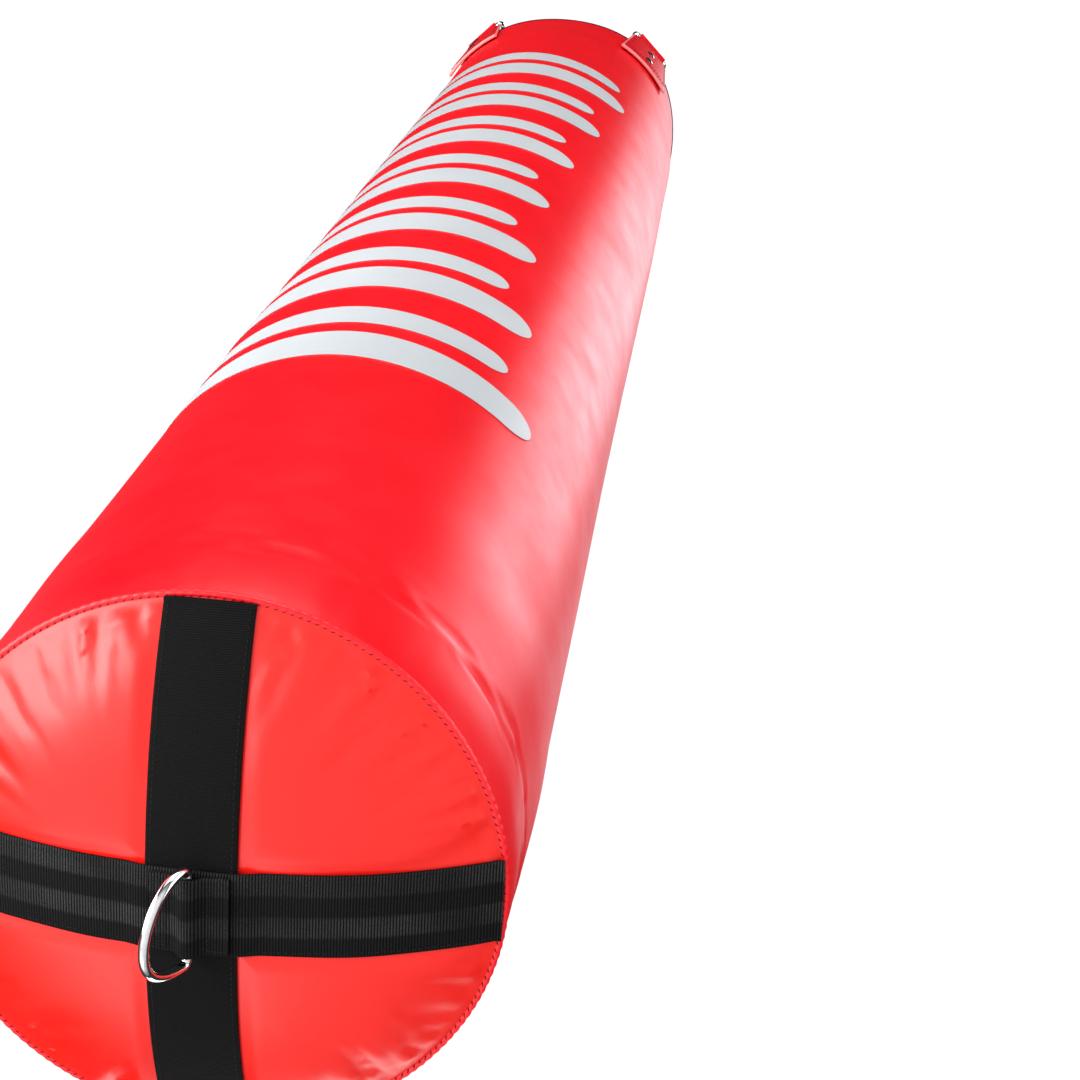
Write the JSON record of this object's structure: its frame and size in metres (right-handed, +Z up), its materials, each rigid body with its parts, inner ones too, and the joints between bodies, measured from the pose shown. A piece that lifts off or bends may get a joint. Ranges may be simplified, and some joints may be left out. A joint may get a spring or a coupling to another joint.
{
  "type": "hanging punching bag",
  "caption": "Long cylindrical heavy bag in coated fabric, closed by a zipped top, hung on chains from a gather ring and swivel, with a tether ring under its strapped bottom panel.",
  "frame": {"origin": "the point of the swivel's upper eye that a hook carries, on the bag's axis", "axes": "+Z up along the hanging bag, -Y the printed front, +X to the right of someone who faces that front"},
  "size_m": [0.3352, 0.3352, 2.4387],
  "materials": {
    "cover_vinyl": "satin",
    "panel_vinyl": "satin",
    "black_webbing": "matte",
    "ribbed_webbing": "matte",
    "chrome_wire": "polished",
    "chain_steel": "polished",
    "forged_steel": "satin",
    "bearing_steel": "satin",
    "rivet_metal": "polished",
    "binding": "matte",
    "zip_tape": "matte",
    "zip_metal": "satin",
    "padding": "matte",
    "liner": "matte",
    "filling": "matte",
    "front_print": "satin"
  },
  "bodies": {
    "swivel_eye": {"swivel_upper_eye": "forged_steel", "swivel_nut": "forged_steel"},
    "swivel_yoke": {"swivel_yoke": "forged_steel", "swivel_thrust_bearing": "bearing_steel"},
    "gather_ring": {"gather_ring": "chrome_wire"},
    "bag": {"chain_front_left": "chain_steel", "chain_front_right": "chain_steel", "chain_back_left": "chain_steel", "chain_back_right": "chain_steel", "hanger_ring_front_left": "chrome_wire", "hanger_ring_front_right": "chrome_wire", "hanger_ring_back_left": "chrome_wire", "hanger_ring_back_right": "chrome_wire", "tab_webbing_front_left": "cover_vinyl", "tab_webbing_front_right": "cover_vinyl", "tab_webbing_back_left": "cover_vinyl", "tab_webbing_back_right": "cover_vinyl", "hanging_tab_front_left": "cover_vinyl", "hanging_tab_front_right": "cover_vinyl", "hanging_tab_back_left": "cover_vinyl", "hanging_tab_back_right": "cover_vinyl", "rivet_front_left_upper": "rivet_metal", "rivet_front_left_lower": "rivet_metal", "rivet_front_right_upper": "rivet_metal", "rivet_front_right_lower": "rivet_metal", "rivet_back_left_upper": "rivet_metal", "rivet_back_left_lower": "rivet_metal", "rivet_back_right_upper": "rivet_metal", "rivet_back_right_lower": "rivet_metal", "cover_tube": "cover_vinyl", "bottom_panel": "panel_vinyl", "top_panel_front": "cover_vinyl", "top_panel_back": "cover_vinyl", "rim_binding": "binding", "zip_tape_front": "zip_tape", "zip_tape_back": "zip_tape", "bottom_strap_long": "black_webbing", "bottom_strap_cross": "ribbed_webbing", "ring_keeper": "ribbed_webbing", "foam_wrap": "padding", "bottom_pad": "padding", "liner_sack": "liner", "textile_filling": "filling"},
    "zip_slider": {"zip_slider": "zip_metal"},
    "zip_pull": {"zip_pull": "zip_metal"},
    "tether_ring": {"tether_ring": "chrome_wire"}
  },
  "joints": [
    {"name": "swivel_spin", "type": "hinge", "parent": "swivel_eye", "child": "swivel_yoke", "pos_m": [0, 0, -0.06], "axis": [0, 0, 1], "continuous": true},
    {"name": "ring_swing", "type": "hinge", "parent": "swivel_yoke", "child": "gather_ring", "pos_m": [0, 0, -0.116], "axis": [1, 0, 0], "range_deg": [-35, 35]},
    {"name": "bag_swing", "type": "hinge", "parent": "gather_ring", "child": "bag", "pos_m": [0, 0, -0.1786], "axis": [0, 1, 0], "range_deg": [-35, 35]},
    {"name": "zip_travel", "type": "slide", "parent": "bag", "child": "zip_slider", "axis": [-1, 0, 0], "range_m": [0, 0.205]},
    {"name": "zip_pull_flip", "type": "hinge", "parent": "zip_slider", "child": "zip_pull", "pos_m": [0.104, 0, -0.5074], "axis": [0, 1, 0], "range_deg": [0, 150]},
    {"name": "tether_swing", "type": "hinge", "parent": "bag", "child": "tether_ring", "pos_m": [0, 0, -2.3931], "axis": [0, 1, 0], "range_deg": [-110, 60]}
  ]
}
